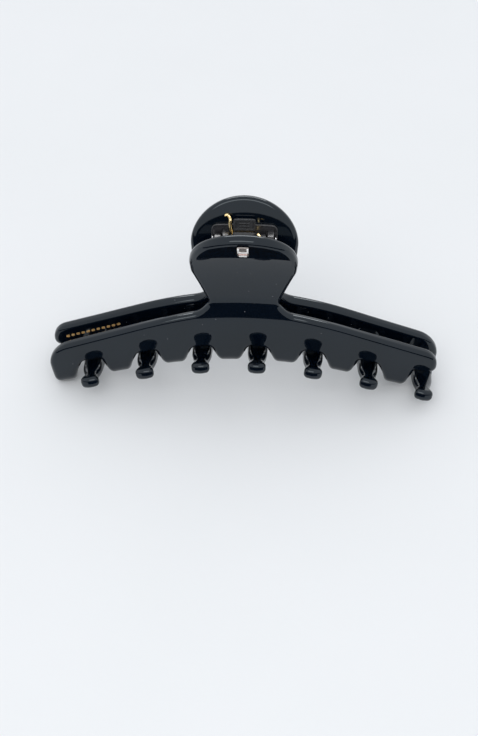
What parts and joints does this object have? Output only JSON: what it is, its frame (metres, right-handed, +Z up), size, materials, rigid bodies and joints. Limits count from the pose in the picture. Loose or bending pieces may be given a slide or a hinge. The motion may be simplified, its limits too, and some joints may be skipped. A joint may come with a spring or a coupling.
{
  "type": "claw hair clip",
  "caption": "Large arched claw clip: two curved glossy jaws with interlocking teeth and rounded thumb tabs, closed by a torsion spring on a pin hinge.",
  "frame": {"origin": "centre of the clip's footprint at its lowest teeth, under the middle of the hinge pin", "axes": "+X along the clip and along the hinge pin, +Y from the badged front jaw to the rear jaw, +Z up from the teeth to the thumb tabs"},
  "size_m": [0.1126, 0.0282, 0.0624],
  "materials": {
    "jaw": "polished black cellulose acetate sheet",
    "hinge_leaf": "black lacquered pressed metal",
    "spring_seat": "black lacquered pressed metal",
    "hinge_pin": "plain steel with peened heads",
    "torsion_spring": "bright gold-coloured plated spring wire",
    "badge": "bright plated tile with rose-tinted bars"
  },
  "bodies": {
    "front": {"front_jaw": "jaw", "front_hinge_leaf": "hinge_leaf", "front_spring_seat": "spring_seat", "hinge_pin": "hinge_pin", "torsion_spring": "torsion_spring", "badge_tile": "badge"},
    "rear": {"rear_jaw": "jaw", "rear_hinge_leaf": "hinge_leaf", "rear_spring_seat": "spring_seat"}
  },
  "joints": [
    {"name": "jaw_hinge", "type": "hinge", "parent": "front", "child": "rear", "pos_m": [0, 0, 0.05321], "axis": [1, 0, 0], "range_deg": [0, 50], "stiffness_Nm_per_rad": 0.12, "springref_deg": -34.38, "deforming": ["torsion_spring"]}
  ]
}
